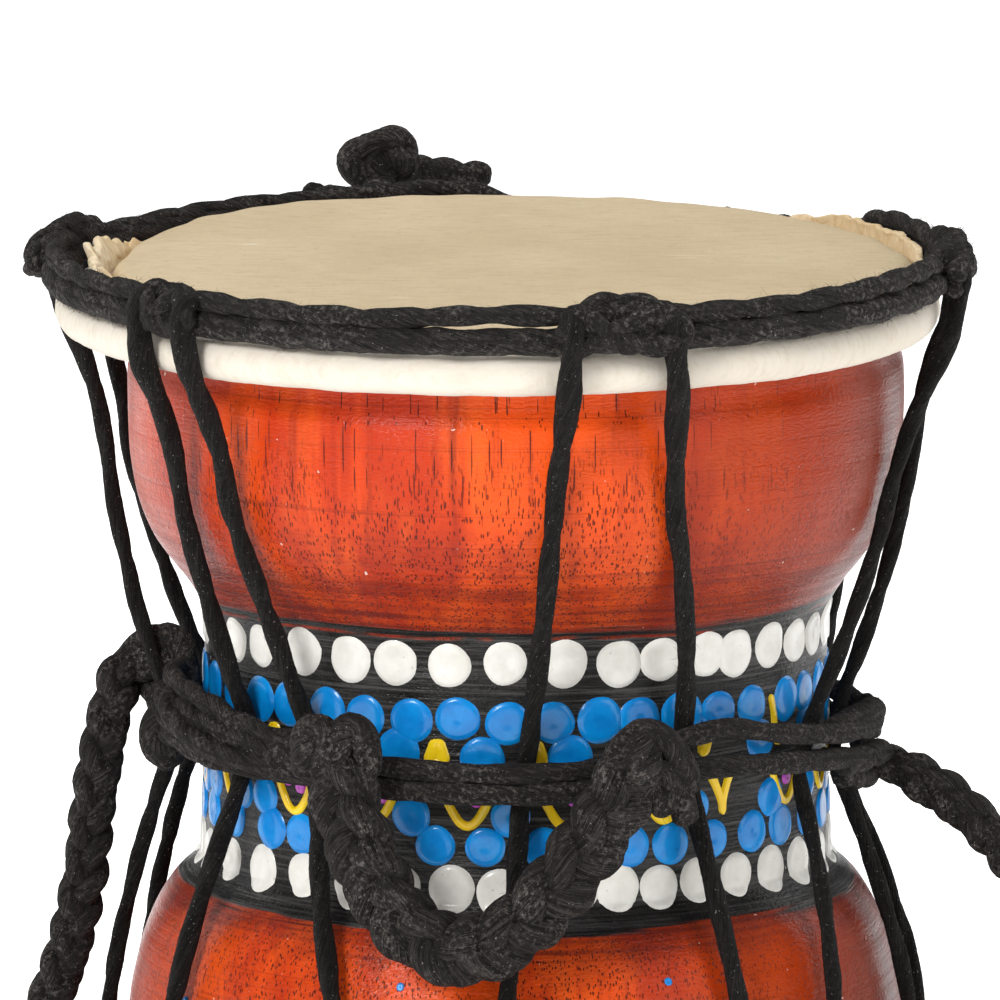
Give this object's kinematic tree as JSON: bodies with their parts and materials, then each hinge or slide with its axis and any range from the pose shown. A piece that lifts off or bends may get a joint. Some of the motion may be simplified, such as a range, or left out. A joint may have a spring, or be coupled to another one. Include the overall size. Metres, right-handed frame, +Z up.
{
  "type": "djembe hand drum",
  "caption": "Small hourglass hand drum with a laced skin head, painted dot band at the waist, crown and foot rope rings, waist binding and a braided carrying cord.",
  "frame": {"origin": "middle of the laced drum's outline on the ground, level with the foot's underside; the shell's turning axis stands at x 2.2 mm, y -2.9 mm", "axes": "+Z up along the shell's axis, -Y the front, +X to the right seen from the front"},
  "size_m": [0.1602, 0.148, 0.1235],
  "materials": {
    "red_wood": "turned wood, red glossy varnish, a matt black painted band at the waist with raised paint dots",
    "goatskin": "dry shaved goatskin, tan, matt",
    "cream_skin": "skin rolled over the steel hoop, cream, satin",
    "black_cord": "soft twisted black cotton cord, matt and fuzzy"
  },
  "bodies": {
    "root": {"binding_back_lower": "black_cord", "binding_back_upper": "black_cord", "binding_front_lower": "black_cord", "binding_front_upper": "black_cord", "crown_ring": "black_cord", "drum_head": "goatskin", "flesh_hoop": "cream_skin", "front_braid": "black_cord", "hitch_low_1": "black_cord", "hitch_low_2": "black_cord", "hitch_low_3": "black_cord", "hitch_low_4": "black_cord", "hitch_low_5": "black_cord", "hitch_low_6": "black_cord", "hitch_top_1": "black_cord", "hitch_top_2": "black_cord", "hitch_top_3": "black_cord", "hitch_top_4": "black_cord", "hitch_top_5": "black_cord", "hitch_top_6": "black_cord", "lace_lower_1": "black_cord", "lace_lower_10": "black_cord", "lace_lower_11": "black_cord", "lace_lower_12": "black_cord", "lace_lower_2": "black_cord", "lace_lower_3": "black_cord", "lace_lower_4": "black_cord", "lace_lower_5": "black_cord", "lace_lower_6": "black_cord", "lace_lower_7": "black_cord", "lace_lower_8": "black_cord", "lace_lower_9": "black_cord", "lace_upper_1": "black_cord", "lace_upper_10": "black_cord", "lace_upper_11": "black_cord", "lace_upper_12": "black_cord", "lace_upper_2": "black_cord", "lace_upper_3": "black_cord", "lace_upper_4": "black_cord", "lace_upper_5": "black_cord", "lace_upper_6": "black_cord", "lace_upper_7": "black_cord", "lace_upper_8": "black_cord", "lace_upper_9": "black_cord", "lower_ring": "black_cord", "shell": "red_wood", "strap": "black_cord", "strap_knot_left": "black_cord", "strap_knot_right": "black_cord", "tie_off_knot": "black_cord", "tie_off_tail": "black_cord"}
  },
  "joints": []
}
